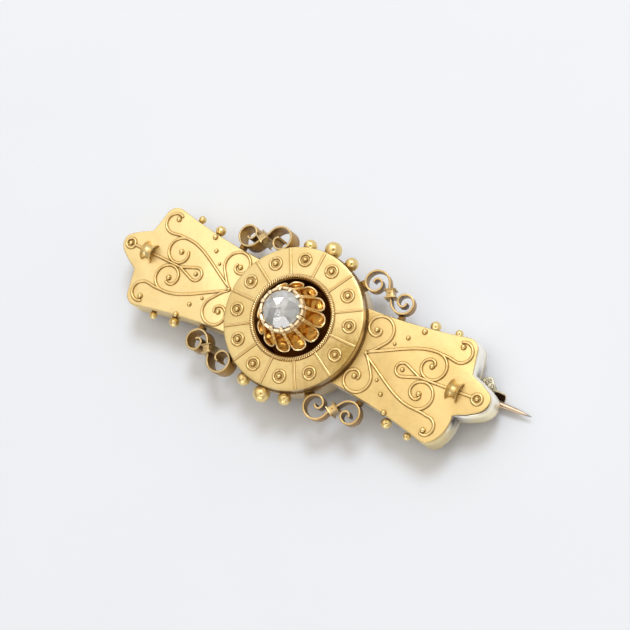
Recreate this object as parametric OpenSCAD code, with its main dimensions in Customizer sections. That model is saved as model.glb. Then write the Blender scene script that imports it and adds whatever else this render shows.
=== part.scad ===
// Bar brooch with a raised centre disc, a fluted calyx with one rose-cut stone, and filigree wings.
// Z is up. The origin is at the middle of the outline's box, on the surface that the brooch lies on.

/* [Wings] */
// From the disc's centre to the point of the left wing
left_reach = 23.0; // [22.5:0.05:23]
// From the disc's centre to the point of the right wing
right_reach = 23.3; // [22.5:0.05:23.5]
// Half width of a wing where it meets the disc
wing_root_half = 4.46; // [4.2:0.02:4.7]
// Height of a wing over the back plate's underside
wing_h = 3.2; // [3:0.05:3.5]
// Thickness of the gold plate
plate_t = 0.45; // [0.35:0.05:0.5]
// Width of the filigree wire
wire_w = 0.3; // [0.25:0.01:0.35]
// Height of the filigree wire over its plate
wire_h = 0.25; // [0.2:0.01:0.3]

/* [Disc] */
// Radius of the disc
disc_r = 7.8; // [7.7:0.01:7.9]
// Height of the disc over the wings
disc_rise = 1.4; // [1.3:0.05:1.6]
// Fall of the disc from its middle to its rim
disc_fall = 0.2; // [0.1:0.05:0.25]
// Radius of the well in the disc
well_r = 4.3; // [4.25:0.01:4.4]
// Number of panels round the disc
panels = 12; // [12:1:12]

/* [Setting] */
// Radius of the stone
stone_r = 2.08; // [2.0:0.01:2.1]
// Height of the stone's base over the disc
stone_rise = 3.4; // [3.2:0.05:3.6]
// Height of the stone's dome over its girdle
stone_dome = 1.15; // [1:0.05:1.3]
// Number of flutes round the calyx
flutes = 12; // [12:1:12]
// Reach of a flute's lip from the middle
lip_r = 3.75; // [3.6:0.05:3.9]

/* [Scrolls] */
// Height of the flat strip on the left
strip_h_left = 2.0; // [1.6:0.05:2.2]
// Height of the flat strip on the right
strip_h_right = 1.5; // [1.2:0.05:1.8]
// Thickness of the flat strip
strip_t = 0.3; // [0.25:0.01:0.35]
// Fall of a scroll from the disc to the wing, in degrees
scroll_tilt = 7; // [5:0.5:8]

/* [Fastening] */
// From the disc's centre to the hinge
hinge_x = 17.5; // [17:0.1:18]
// Distance of the hinge below the brooch's long axis
hinge_y = 1.0; // [0.9:0.05:1.1]
// Distance of the catch above the brooch's long axis
catch_y = 1.3; // [1.2:0.05:1.4]
// From the disc's centre to the pin's point
point_x = 26.4; // [26:0.1:26.6]

/* [Hidden] */
$fn = 48;

gap = 0.03;
back_t = 0.4;
body_shift = (left_reach - point_x) / 2;

// The open hook stands on the surface, and the pin lies in its middle
hook_in = [0.95, 0.72];
hook_t = 0.18;
hook_out = hook_in + [hook_t, hook_t];
hook_end = -57;
pin_z = hook_out.y * sin(-hook_end);
back_clear = pin_z + 1.0;

floor_z = back_clear + back_t;
wing_top = back_clear + wing_h;
disc_top = wing_top + disc_rise;
disc_bottom = disc_top - plate_t;
stone_z = disc_top + stone_rise;
collet_bottom = stone_z - 0.25;

drum_r = disc_r;
drum_in = drum_r - plate_t;
panel_step = 360 / panels;
gold = [0.86, 0.70, 0.38];
dark_gold = [0.45, 0.28, 0.10];

// Wing outline: a flaring side, a round corner, a notch and a lobe with a round point
side_flare = 0.055;
side_curve = 0.00824;
side_x0 = 7.56;
corner = [18.4, 4.7];
corner_r = 1.3;
notch = [20.2, 2.45];

// Each lobe: reach of its point, height of its point over the long axis, fullness of its sides
left_lobe = [left_reach, 0.2, 0];
right_lobe = [right_reach, 0.5, 0.3];
// Inner end of each wing's heart wires: angle and radius of the spiral there
left_curl = [-230, 0.75];
right_curl = [-310, 0.33];

function side_y(x) = wing_root_half + side_flare * (x - side_x0) + side_curve * pow(x - side_x0, 2);
function arc(c, r, a0, a1, n) = [for (i = [0:n]) let(a = a0 + (a1 - a0) * i / n) c + r * [cos(a), sin(a)]];
function flipped(pts) = [for (i = [len(pts) - 1:-1:0]) [pts[i].x, -pts[i].y]];
function bezier(a, b, c, d, n) =
    [for (i = [0:n]) let(t = i / n, s = 1 - t)
        s * s * s * a + 3 * s * s * t * b + 3 * s * t * t * c + t * t * t * d];

// Upper half of the outline, moved inwards by i
function wing_half(i, reach, tip_y, fullness) =
    let(n = notch + [-0.86 * i, tip_y / 2 - 0.756 * i],
        point = [reach - i, tip_y],
        sides = [for (x = [3:2.5:18]) [x, side_y(x) - i]],
        lobe = bezier(n, n + [1.75, -0.95 + fullness], point + [0, 1.1 + fullness], point, 8))
    concat(sides, arc(corner, corner_r - i, 103, 8, 8), lobe);

module wing_outline(i, lobe) {
    upper = wing_half(i, lobe.x, lobe.y, lobe.z);
    lower = wing_half(i, lobe.x, -lobe.y, lobe.z);
    polygon(concat(upper, flipped(lower)));
}

// Filigree: every path is a list of points worked out from arcs, spirals and curves
function spiral(c, r0, r1, a0, a1, p, n) =
    [for (i = [0:n]) let(t = i / n, r = r0 + (r1 - r0) * pow(t, p), a = a0 + (a1 - a0) * t)
        c + r * [cos(a), sin(a)]];
function heading(p, i) = let(a = p[max(i - 1, 0)], b = p[min(i + 1, len(p) - 1)]) (b - a) / norm(b - a);
function side(p, w) = [for (i = [0:len(p) - 1]) let(h = heading(p, i)) p[i] + w * [-h.y, h.x]];
function stroke(p, w) = let(r = side(p, -w / 2)) concat(side(p, w / 2), [for (i = [len(r) - 1:-1:0]) r[i]]);

apex = [8.7, 0.15];
heart_c = [15.82, 1.58];
heart_r = 1.58;
corner_c = [17.93, 4.27];
corner_wire_r = 1.24;
c_scroll_c = [8.8, 2.8];
c_scroll_r = 1.73;
drop_c = [13.05, 0];
drop_r = 0.73;
knot = [15.1, 0];
ring_x = 21.7;
ring_r = 0.54;
ring_grain_r = 0.24;
saddle_x = 19.2;
wire_sunk = 0.1;
grain_rise = 0.1;

function heart_wire(curl) =
    concat(bezier(apex, apex + [3.2, 1.6], heart_c + [-2.2, heart_r], heart_c + [0, heart_r], 9),
           spiral(heart_c, heart_r, curl[1], 85, curl[0], 2.2, 34));
corner_wire = concat([[16.3, 2.98], [17.0, 3.12]], spiral(corner_c, corner_wire_r, 0.95, -100, 108, 3, 14));
c_scroll_wire = concat(bezier(apex, apex + [0.5, 0.25], [9.68, 1.15], [10.05, 1.6], 4),
                       spiral(c_scroll_c, c_scroll_r, 0.27, -40, 360, 1.55, 34));
drop_half = 90 - asin(drop_r / (knot.x - drop_c.x));
drop_wire = concat([knot], arc(drop_c, drop_r, drop_half, 182, 9));

// Grains on one half of a wing
//         x      y     radius
grains = [[11.05, 2.10, 0.15],
          [12.10, 3.26, 0.21],
          [13.15, 4.70, 0.27],
          [8.62, 2.69, 0.26],
          [15.80, 1.58, 0.27],
          [17.90, 4.75, 0.28]];
// Grains on the long axis of a wing
//              x      radius
axis_grains = [[8.62, 0.17],
               [13.05, 0.21],
               [15.10, 0.14]];
// Balls on one long side of a wing
//            x      radius
side_balls = [[13.45, 0.58],
              [16.10, 0.43]];
side_ball_z = wing_top - 1.57;

module wire(path) {
    translate([0, 0, wing_top - wire_sunk]) linear_extrude(height = wire_h + wire_sunk) {
        polygon(stroke(path, wire_w));
    }
}

module half_filigree(curl) {
    wire(heart_wire(curl));
    wire(corner_wire);
    wire(c_scroll_wire);
    wire(drop_wire);
    for (g = grains) translate([g.x, g.y, wing_top + grain_rise]) sphere(r = g.z);
}

module ring(x, y, r) {
    translate([x, y, wing_top - wire_sunk]) difference() {
        cylinder(r = r + wire_w / 2, h = wire_h + wire_sunk);
        translate([0, 0, -1]) cylinder(r = r - wire_w / 2, h = 3);
    }
}

// Keeper over the stem wire: a half tube with a waist and two flared mouths
saddle_len = 1.25;
saddle_waist = 0.7;
saddle_mouth = 1.15;
saddle_t = 0.2;
function saddle_r(x) = saddle_waist + (saddle_mouth - saddle_waist) * pow(2 * x / saddle_len, 2);
saddle_steps = [for (i = [0:8]) saddle_len * (i / 8 - 0.5)];

module saddle(y) {
    outer = [for (x = saddle_steps) [saddle_r(x), x]];
    inner = [for (i = [8:-1:0]) [saddle_r(saddle_steps[i]) - saddle_t, saddle_steps[i]]];
    translate([saddle_x, y, wing_top]) difference() {
        rotate([0, 90, 0]) rotate_extrude() polygon(concat(outer, inner));
        translate([-2, -2, -4 - wire_sunk]) cube(4);
    }
}

// One wing, drawn pointing along +X; the stem wire climbs to the ring in the lobe
module wing(lobe, curl) {
    ring_y = 0.85 * lobe.y;
    saddle_y = ring_y * (saddle_x - knot.x) / (ring_x - knot.x);
    difference() {
        translate([0, 0, floor_z]) linear_extrude(height = wing_top - floor_z) wing_outline(0, lobe);
        translate([0, 0, floor_z - 1]) linear_extrude(height = wing_top - plate_t - floor_z + 1) {
            wing_outline(plate_t, lobe);
        }
        cylinder(r = drum_r + gap, h = 20);
    }
    difference() {
        union() {
            half_filigree(curl);
            mirror([0, 1, 0]) half_filigree(curl);
        }
        cylinder(r = drum_r + gap, h = 20);
    }
    wire([knot, [ring_x - ring_r, ring_y]]);
    ring(ring_x, ring_y, ring_r);
    saddle(saddle_y);
    translate([ring_x, ring_y, wing_top + grain_rise]) sphere(r = ring_grain_r);
    for (g = axis_grains) translate([g.x, 0, wing_top + grain_rise]) sphere(r = g.y);
    for (s = [-1, 1], b = side_balls) {
        translate([b.x, s * (side_y(b.x) + b.y - 0.03), side_ball_z]) sphere(r = b.y);
    }
}

module left_wing() {
    color(gold) translate([body_shift, 0, 0]) mirror([1, 0, 0]) wing(left_lobe, left_curl);
}

module right_wing() {
    color(gold) translate([body_shift, 0, 0]) wing(right_lobe, right_curl);
}

// The back plate closes both wings and the drum from below
module back_plate() {
    color(gold) translate([body_shift, 0, back_clear]) {
        linear_extrude(height = back_t) wing_outline(0, right_lobe);
        mirror([1, 0, 0]) linear_extrude(height = back_t) wing_outline(0, left_lobe);
        cylinder(r = drum_r, h = back_t);
    }
}

// Balls on the drum: angle from the long axis, distance from the middle and radius
//            angle  distance radius
drum_balls = [[90, 8.53, 0.94],
              [71.9, 8.36, 0.73],
              [108.1, 8.36, 0.73]];
drum_ball_z = disc_top - 1.87;

module tube(r_out, r_in, z0, z1) {
    translate([0, 0, z0]) difference() {
        cylinder(r = r_out, h = z1 - z0);
        translate([0, 0, -1]) cylinder(r = r_in, h = z1 - z0 + 2);
    }
}

module drum() {
    color(gold) translate([body_shift, 0, 0]) {
        tube(drum_r, drum_in, floor_z, disc_bottom);
        for (s = [0, 180], b = drum_balls) {
            rotate([0, 0, b.x + s]) translate([b.y, 0, drum_ball_z]) sphere(r = b.z);
        }
    }
}

module well() {
    color(dark_gold) translate([body_shift, 0, 0]) tube(well_r + plate_t, well_r, floor_z, disc_bottom);
}

rope_r = 0.2;
circlet_at = 6.37;
circlet_r = 0.63;
circlet_w = 0.26;
circlet_h = 0.17;
disc_grain_r = 0.25;
sunk = 0.25;

module circlet() {
    tube(circlet_r + circlet_w / 2, circlet_r - circlet_w / 2, disc_top - sunk, disc_top + circlet_h);
    translate([0, 0, disc_top + grain_rise]) sphere(r = disc_grain_r);
}

spoke_w = 0.26;
spoke_h = 0.15;
rim_w = 0.1;

module spoke() {
    from = well_r + rope_r;
    translate([from, -spoke_w / 2, disc_top - sunk]) {
        cube([disc_r - rim_w - from, spoke_w, sunk + spoke_h]);
    }
}

module disc() {
    color(gold) translate([body_shift, 0, 0]) {
        rotate_extrude() polygon([[well_r, disc_bottom], [disc_r - 0.04, disc_bottom],
                                  [disc_r, disc_top - disc_fall - 0.15],
                                  [disc_r - rim_w, disc_top - disc_fall],
                                  [disc_r - 4 * rim_w, disc_top - disc_fall / 2],
                                  [circlet_at, disc_top], [well_r, disc_top]]);
        rotate_extrude() translate([well_r + rope_r, disc_top + 0.05]) circle(r = rope_r);
        for (a = [0:panel_step:359]) {
            rotate([0, 0, a]) spoke();
            rotate([0, 0, a + panel_step / 2]) translate([circlet_at, 0, 0]) circlet();
        }
    }
}

// Calyx: one meridian along a ridge and one along the middle of a flute, in steps from the collet down to
// the lip and back under it to the foot; heights are over the disc
//              ridge r  ridge z  flute r  flute z
calyx_steps = [[2.40,    3.15,    2.20,    3.15],
               [2.62,    2.40,    2.28,    2.40],
               [2.85,    1.70,    2.42,    1.60],
               [3.04,    1.10,    2.70,    0.80],
               [3.20,    0.70,    3.15,    0.25],
               [3.27,    0.50,    3.50,    0.08],
               [3.25,    0.40,    lip_r,   0.20],
               [3.10,    0.25,    lip_r - 0.1, 0.00],
               [2.70,   -0.20,    2.90,   -0.35],
               [1.80,   -1.60,    1.80,   -1.60],
               [1.70,   -4.20,    1.70,   -4.20]];
flute_facets = 6;

function flute_share(i) = 0.5 - 0.5 * cos(360 * i / flute_facets);
function calyx_ring(s) =
    [for (i = [0:flutes * flute_facets - 1])
        let(f = flute_share(i), r = s[0] + (s[2] - s[0]) * f, z = s[1] + (s[3] - s[1]) * f,
            a = 360 * i / (flutes * flute_facets))
        [r * cos(a), r * sin(a), z]];
function loft_faces(rings, n) =
    concat([for (j = [0:rings - 2], i = [0:n - 1]) let(a = j * n, b = a + n, k = (i + 1) % n)
               [a + i, a + k, b + k, b + i]],
           [[for (i = [n - 1:-1:0]) i], [for (i = [0:n - 1]) (rings - 1) * n + i]]);

module calyx() {
    steps = [for (s = calyx_steps) [s[0], disc_top + s[1], s[2], disc_top + s[3]]];
    points = [for (s = steps, p = calyx_ring(s)) p];
    faces = loft_faces(len(steps), flutes * flute_facets);
    color(dark_gold) translate([body_shift, 0, 0]) polyhedron(points = points, faces = faces);
}

claws = 12;
claw_r = 0.13;
collet_r = 2.45;
ledge_r = 1.8;

module collet() {
    color(gold) translate([body_shift, 0, 0]) {
        rotate_extrude() polygon([[ledge_r, collet_bottom], [collet_r - 0.1, collet_bottom],
                                  [collet_r, stone_z + 0.3], [stone_r + gap, stone_z + 0.3],
                                  [stone_r + gap, stone_z - gap], [ledge_r, stone_z - gap]]);
        for (i = [0:claws - 1]) {
            rotate([0, 0, 360 * i / claws]) translate([stone_r + 0.2, 0, stone_z + 0.2]) {
                cylinder(r = claw_r, h = 0.25);
                translate([0, 0, 0.25]) sphere(r = claw_r + 0.02);
            }
        }
    }
}

// Rose cut: a flat base, a girdle of twelve sides, eighteen teeth, six star facets and a small table
girdle_h = 0.22;
star_r = 1.2;
star_z = 0.78;
table_r = 0.26;
stone_turn = 30;

function circle_points(n, r, z) = [for (i = [0:n - 1]) let(a = 360 * i / n) [r * cos(a), r * sin(a), z]];

module diamond() {
    points = concat(circle_points(12, stone_r, 0),
                    circle_points(12, stone_r, girdle_h),
                    circle_points(6, star_r, girdle_h + star_z),
                    circle_points(6, table_r, girdle_h + stone_dome));
    base = [[for (i = [0:11]) i]];
    girdle = [for (i = [0:11]) [i + 12, (i + 1) % 12 + 12, (i + 1) % 12, i]];
    teeth = [for (k = [0:5], f = [[24 + k, 12 + (2 * k + 1) % 12, 12 + 2 * k],
                                  [24 + k, 12 + 2 * k, 12 + (2 * k + 11) % 12],
                                  [24 + k, 24 + (k + 1) % 6, 12 + (2 * k + 1) % 12]]) f];
    stars = [for (k = [0:5]) [24 + k, 30 + k, 30 + (k + 1) % 6, 24 + (k + 1) % 6]];
    table = [[for (i = [5:-1:0]) 30 + i]];
    faces = concat(base, girdle, teeth, stars, table);
    color("aliceblue") translate([body_shift, 0, stone_z]) rotate([0, 0, stone_turn]) {
        polyhedron(points = points, faces = faces);
    }
}

// Scroll: flat strip on edge from a volute by the drum, through a collar, to a volute by the wing
drum_volute_c = [6.05, 7.2];
wing_volute_c = [9.75, 6.5];
collar_at = [7.99, 6.76];
collar_turn = -60;
collar_len = 1.0;
collar_block = 0.44;
collar_waist = 0.36;
collar_flange = 0.64;
flange_t = 0.14;
collar_below = 0.1;
collar_above = 0.25;
// Tabs that hold each scroll to the wing and to the drum, as length, width and height
wing_tab = [0.8, 0.5, 1.0];
wing_tab_x = 9.6;
wing_tab_fall = 1.9;
drum_tab = [0.5, 0.9, 1.2];
drum_tab_turn = 53.5;
drum_tab_fall = 1.6;

function backwards(pts) = [for (i = [len(pts) - 1:-1:0]) pts[i]];
strip_path = concat(backwards(spiral(drum_volute_c, 1.5, 0.25, 18, 410, 2, 32)),
                    bezier([7.55, 7.45], [7.7, 7.0], [8.25, 6.35], [8.5, 5.9], 3),
                    spiral(wing_volute_c, 1.37, 0.28, -146, 290, 1.7, 34));

// A waisted block between two thin flanges
module collar(height) {
    end = collar_len / 2;
    block_end = end - flange_t;
    swell = collar_block - collar_waist;
    block = [for (i = [-3:3]) [block_end * i / 3, -collar_waist - swell * pow(i / 3, 2)]];
    right = concat([[-end, -collar_flange], [-block_end, -collar_flange]], block,
                   [[block_end, -collar_flange], [end, -collar_flange]]);
    linear_extrude(height = height) polygon(concat(right, flipped(right)));
}

module scroll(strip_h) {
    pivot_z = wing_top - 0.3;
    translate([collar_at.x, 0, pivot_z]) rotate([0, scroll_tilt, 0]) translate([-collar_at.x, 0, -strip_h]) {
        linear_extrude(height = strip_h) polygon(stroke(strip_path, strip_t));
        translate([collar_at.x, collar_at.y, -collar_below]) rotate([0, 0, collar_turn]) {
            collar(collar_below + strip_h + collar_above);
        }
    }
    tab_y = side_y(wing_tab_x + wing_tab.x) + gap;
    translate([wing_tab_x, tab_y, wing_top - wing_tab_fall]) cube(wing_tab);
    rotate([0, 0, drum_tab_turn]) translate([drum_r + gap, -drum_tab.y / 2, wing_top - drum_tab_fall]) {
        cube(drum_tab);
    }
}

module upper_right_scroll() {
    color(gold) translate([body_shift, 0, 0]) scroll(strip_h_right);
}

module upper_left_scroll() {
    color(gold) translate([body_shift, 0, 0]) mirror([1, 0, 0]) scroll(strip_h_left);
}

module lower_right_scroll() {
    color(gold) translate([body_shift, 0, 0]) mirror([0, 1, 0]) scroll(strip_h_right);
}

module lower_left_scroll() {
    color(gold) translate([body_shift, 0, 0]) mirror([1, 0, 0]) mirror([0, 1, 0]) scroll(strip_h_left);
}

// Fastening: the pin's eye turns on a rivet between two cheeks, and its stem lies in the open hook
eye_r = 0.55;
eye_w = 1.2;
cheek_t = 0.7;
side_play = 0.05;
rivet_r = 0.3;
running = 0.04;
stem_r = 0.42;
hook_pin_r = 0.37;
knee_r = 0.27;
knee_len = 2.4;
tip_r = 0.04;
hook_x = 21.5;
hook_len = 1.8;
foot_t = 0.2;
hinge_half = eye_w / 2 + side_play + cheek_t;
hinge_back = 0.95;
hinge_back_t = 0.3;
hinge_foot = [3.0, 3.1];
hook_from_hinge = hinge_x + hook_x + hook_len / 2;
pin_turn = atan2(catch_y + hinge_y, hook_from_hinge);
stem_len = hook_from_hinge / cos(pin_turn);
pin_len = (hinge_x + point_x) / cos(pin_turn);

module along_y(r, y0, y1) {
    translate([0, y0, 0]) rotate([-90, 0, 0]) cylinder(r = r, h = y1 - y0);
}

module cheek(y) {
    difference() {
        union() {
            translate([0, 0, pin_z]) along_y(pin_z, y, y + cheek_t);
            translate([-hinge_back, y, 0]) cube([hinge_back, cheek_t, back_clear]);
            translate([0, y, pin_z]) cube([pin_z, cheek_t, back_clear - pin_z]);
        }
        translate([0, 0, pin_z]) along_y(rivet_r + 0.01, y - 1, y + cheek_t + 1);
    }
}

module hinge() {
    color(gold) translate([body_shift - hinge_x, -hinge_y, 0]) {
        cheek(hinge_half - cheek_t);
        cheek(-hinge_half);
        translate([-hinge_back, -hinge_half, 0]) cube([hinge_back_t, 2 * hinge_half, back_clear]);
        translate([-hinge_foot.x / 2, -hinge_foot.y / 2, back_clear - foot_t]) {
            cube([hinge_foot.x, hinge_foot.y, foot_t]);
        }
    }
}

module hinge_rivet() {
    color(gold) translate([body_shift - hinge_x, -hinge_y, pin_z]) {
        along_y(rivet_r, -hinge_half - gap, hinge_half + gap);
        along_y(rivet_r + 0.15, hinge_half + gap, hinge_half + 0.15);
        along_y(rivet_r + 0.15, -hinge_half - 0.15, -hinge_half - gap);
    }
}

module pin() {
    color(gold) translate([body_shift - hinge_x, -hinge_y, pin_z]) difference() {
        union() {
            along_y(eye_r, -eye_w / 2, eye_w / 2);
            rotate([0, 90, pin_turn]) cylinder(r1 = stem_r, r2 = hook_pin_r, h = stem_len);
            rotate([0, 90, pin_turn]) translate([0, 0, stem_len]) {
                cylinder(r1 = hook_pin_r, r2 = knee_r, h = knee_len);
            }
            rotate([0, 90, pin_turn]) translate([0, 0, stem_len + knee_len]) {
                cylinder(r1 = knee_r, r2 = tip_r, h = pin_len - stem_len - knee_len);
            }
        }
        along_y(rivet_r + running, -1, 1);
    }
}

// Flat foot of the catch under the wing, and the two round pads that show beyond the notch of the right wing
catch_foot_x = 20.2;
catch_foot_len = 1.7;
catch_foot_low = 1.0;
catch_foot_high = 1.3;
//            x      y     radius
catch_pad = [[20.95, 1.40, 0.75],
             [21.70, 1.05, 0.40]];
function oval_arc(r, a0, a1, n) =
    [for (i = [0:n]) let(a = a0 + (a1 - a0) * i / n) [r.x * cos(a), r.y * sin(a)]];

// The hook curls down beyond the pin and ends beside the stem's path
module catch() {
    color(gold) translate([body_shift, catch_y, 0]) {
        translate([hook_x, 0, pin_z]) rotate([90, 0, 90]) linear_extrude(height = hook_len) polygon(concat(
            oval_arc(hook_out, 0, hook_end, 12),
            oval_arc(hook_in, hook_end, 0, 12),
            [[hook_in.x, back_clear - pin_z], [hook_out.x, back_clear - pin_z]]));
        translate([0, 0, back_clear - foot_t]) {
            translate([catch_foot_x, -catch_foot_low]) {
                cube([catch_foot_len, catch_foot_low + catch_foot_high, foot_t]);
            }
            for (p = catch_pad) translate([p.x, p.y]) cylinder(r = p.z, h = foot_t);
        }
    }
}

back_plate();
left_wing();
right_wing();
drum();
well();
disc();
calyx();
collet();
diamond();
upper_left_scroll();
upper_right_scroll();
lower_left_scroll();
lower_right_scroll();
hinge();
hinge_rivet();
pin();
catch();
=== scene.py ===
"""Looks of the bar brooch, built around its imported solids.

Shapes are in millimetres, with X and Y from the disc's centre and Z from the floor. Lights, the floor and the
camera's clipping are in metres.
"""
import math

import bmesh
import bpy
import numpy as np
from mathutils import Matrix, Vector


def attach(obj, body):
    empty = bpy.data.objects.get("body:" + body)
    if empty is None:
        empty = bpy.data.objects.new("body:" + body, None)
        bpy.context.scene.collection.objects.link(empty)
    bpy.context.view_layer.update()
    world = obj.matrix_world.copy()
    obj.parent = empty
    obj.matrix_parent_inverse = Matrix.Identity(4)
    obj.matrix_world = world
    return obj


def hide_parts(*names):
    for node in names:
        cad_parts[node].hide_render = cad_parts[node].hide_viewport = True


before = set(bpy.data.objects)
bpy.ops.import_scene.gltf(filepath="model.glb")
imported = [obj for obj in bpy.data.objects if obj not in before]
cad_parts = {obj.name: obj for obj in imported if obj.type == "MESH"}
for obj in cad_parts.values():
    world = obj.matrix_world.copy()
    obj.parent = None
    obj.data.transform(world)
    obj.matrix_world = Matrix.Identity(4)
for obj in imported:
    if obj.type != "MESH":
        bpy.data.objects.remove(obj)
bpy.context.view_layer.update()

MM = 0.001
SHIFT = -1.7            # the disc's centre along X, in the part's frame
GAP = 0.03              # between neighbouring pieces

BACK_Z = 1.7548         # underside of the back plate
PLATE_Z = 2.1548        # top of the back plate
FOOT_Z = PLATE_Z + 0.01  # foot of what stands on it
WING_TOP = 4.9548
DISC_TOP = 6.3548
DRUM_TOP = DISC_TOP - 0.47
DISC_R = 7.8
DRUM_R = 7.8
WELL_R = 4.3
STONE_Z = 9.7548        # underside of the stone


# Paths

def pt(*xy):
    return np.array(xy, float)

def arc(c, r, a0, a1, n):
    a = np.radians(np.linspace(a0, a1, n + 1))
    return np.c_[c[0] + r * np.cos(a), c[1] + r * np.sin(a)]

def spiral(c, r0, r1, a0, a1, p, n):
    t = np.linspace(0, 1, n + 1)
    r = r0 + (r1 - r0) * t ** p
    a = np.radians(a0 + (a1 - a0) * t)
    return np.c_[c[0] + r * np.cos(a), c[1] + r * np.sin(a)]

def bezier(a, b, c, d, n):
    t = np.linspace(0, 1, n + 1)[:, None]
    s = 1 - t
    return s ** 3 * pt(*a) + 3 * s * s * t * pt(*b) + 3 * s * t * t * pt(*c) + t ** 3 * pt(*d)

def resampled(path, step):
    """The same path with points at an even distance, without doubled points."""
    path = np.asarray(path, float)
    length = np.r_[0, np.cumsum(np.linalg.norm(np.diff(path, axis=0), axis=1))]
    keep = np.r_[True, np.diff(length) > 1e-6]
    path, length = path[keep], length[keep]
    at = np.linspace(0, length[-1], max(int(length[-1] / step), 4) + 1)
    return np.c_[[np.interp(at, length, path[:, k]) for k in range(path.shape[1])]].T

def smoothed(path, times):
    path = np.array(path, float)
    for _ in range(times):
        path[1:-1] = 0.25 * path[:-2] + 0.5 * path[1:-1] + 0.25 * path[2:]
    return path

def lifted(path, z):
    return np.c_[path, np.full(len(path), z)]

def along(rows, n, soft=2):
    """A table of rows read at n even steps, smoothed."""
    rows = np.array(rows, float)
    t = np.linspace(0, len(rows) - 1, n)
    columns = [np.interp(t, np.arange(len(rows)), rows[:, k]) for k in range(rows.shape[1])]
    return smoothed(np.c_[columns].T, soft)

def unit(vectors):
    return vectors / np.maximum(np.linalg.norm(vectors, axis=-1, keepdims=True), 1e-9)

# Shapes

class Shape:
    """Points and faces of one piece. A face's kind is its key in the piece's table of materials."""

    def __init__(self):
        self.points, self.faces, self.kinds, self.count = [], [], [], 0

    def add(self, points, faces, kind="body"):
        points = np.asarray(points, float)
        self.points.append(points)
        self.faces += [tuple(int(i) + self.count for i in f) for f in faces]
        self.kinds += [kind] * len(faces) if isinstance(kind, str) else list(kind)
        self.count += len(points)

    def join(self, other):
        self.points += other.points
        self.faces += [tuple(i + self.count for i in f) for f in other.faces]
        self.kinds += other.kinds
        self.count += other.count

    def moved(self, matrix):
        """A copy under a 4x4 matrix; a mirroring matrix turns the faces round."""
        m = np.array(matrix, float)
        out = Shape()
        pts = np.concatenate(self.points)
        out.points = [pts @ m[:3, :3].T + m[:3, 3]]
        flip = np.linalg.det(m[:3, :3]) < 0
        out.faces = [f[::-1] for f in self.faces] if flip else list(self.faces)
        out.kinds = list(self.kinds)
        out.count = self.count
        return out

def mirror_matrix(x, y):
    return np.diag([x, y, 1, 1.0])

def turn_matrix(degrees, axis="Z"):
    return np.array(Matrix.Rotation(math.radians(degrees), 4, axis))

def move_matrix(x, y, z):
    m = np.eye(4)
    m[:3, 3] = (x, y, z)
    return m

def grid_faces(rows, cols, wrap_rows=False, wrap_cols=False):
    faces = []
    for j in range(rows if wrap_rows else rows - 1):
        for i in range(cols if wrap_cols else cols - 1):
            a, b = j * cols + i, j * cols + (i + 1) % cols
            k = ((j + 1) % rows) * cols
            faces.append((a, b, k + (i + 1) % cols, k + i))
    return faces

def end_faces(rows, cols):
    """The first and last row of a grid as faces."""
    return [tuple(range(cols))[::-1], tuple((rows - 1) * cols + i for i in range(cols))]

def tube(shape, path, radius, sides=10, closed=False, kind="body", flat=1.0):
    """Round wire along a path, with rounded ends; flat squeezes its section from above."""
    path = np.asarray(path, float)
    n = len(path)
    radius = np.full(n, radius, float) if np.isscalar(radius) else np.asarray(radius, float)
    if closed:
        tangent = unit(np.roll(path, -1, 0) - np.roll(path, 1, 0))
    else:
        cap = [math.pi / 2 * k / 4.3 for k in range(1, 5)]
        first, last = unit(path[0] - path[1]) * radius[0], unit(path[-1] - path[-2]) * radius[-1]
        path = np.array([path[0] + first * math.sin(a) for a in cap[::-1]] + list(path)
                        + [path[-1] + last * math.sin(a) for a in cap])
        radius = np.array([radius[0] * math.cos(a) for a in cap[::-1]] + list(radius)
                          + [radius[-1] * math.cos(a) for a in cap])
        n = len(path)
        tangent = unit(np.gradient(path, axis=0))
    side = np.cross(tangent, [0.0, 0.0, 1.0])
    upright = np.linalg.norm(side, axis=1) < 1e-3
    side[upright] = np.cross(tangent[upright], [0.0, 1.0, 0.0])
    side = unit(side)
    up = np.cross(side, tangent) * flat
    a = 2 * math.pi * np.arange(sides) / sides
    ring = side[:, None] * np.cos(a)[None, :, None] + up[:, None] * np.sin(a)[None, :, None]
    pts = (path[:, None] + ring * radius[:, None, None]).reshape(-1, 3)
    faces = grid_faces(n, sides, wrap_rows=closed, wrap_cols=True)
    if not closed:
        faces += end_faces(n, sides)
    shape.add(pts, [f[::-1] for f in faces], kind)

def seam_and_shade_line(shape, path, z, half, closed=False):
    """Dark line on both sides of a wire: partly solder and dirt, partly painted shade where the wire meets the
    plate.
    """
    tube(shape, lifted(path, z), half, 8, closed, "seam", flat=0.12)

def seam_and_shade_ring(shape, x, y, z, r):
    """Dark ring round the foot of a grain: partly solder, partly painted shade where the grain meets the plate.
    """
    low, high = z - 0.03, z + 0.012
    lathe(shape, [(r * 0.5, low), (r, low), (r, high), (r * 0.5, high)], 20, (x, y), "seam")

def lathe(shape, profile, sides, c=(0, 0), kind="body"):
    """A closed profile of (r, z) points turned round the vertical axis at c."""
    profile = np.asarray(profile, float)
    a = 2 * math.pi * np.arange(sides) / sides
    pts = np.stack([c[0] + np.cos(a)[:, None] * profile[:, 0], c[1] + np.sin(a)[:, None] * profile[:, 0],
                    np.tile(profile[:, 1], (sides, 1))], -1).reshape(-1, 3)
    shape.add(pts, grid_faces(sides, len(profile), wrap_rows=True, wrap_cols=True), kind)

def across(path):
    """Unit vectors that stand across a path in its plane, to the left."""
    tangent = unit(np.gradient(path, axis=0))
    return np.c_[-tangent[:, 1], tangent[:, 0]]

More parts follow.
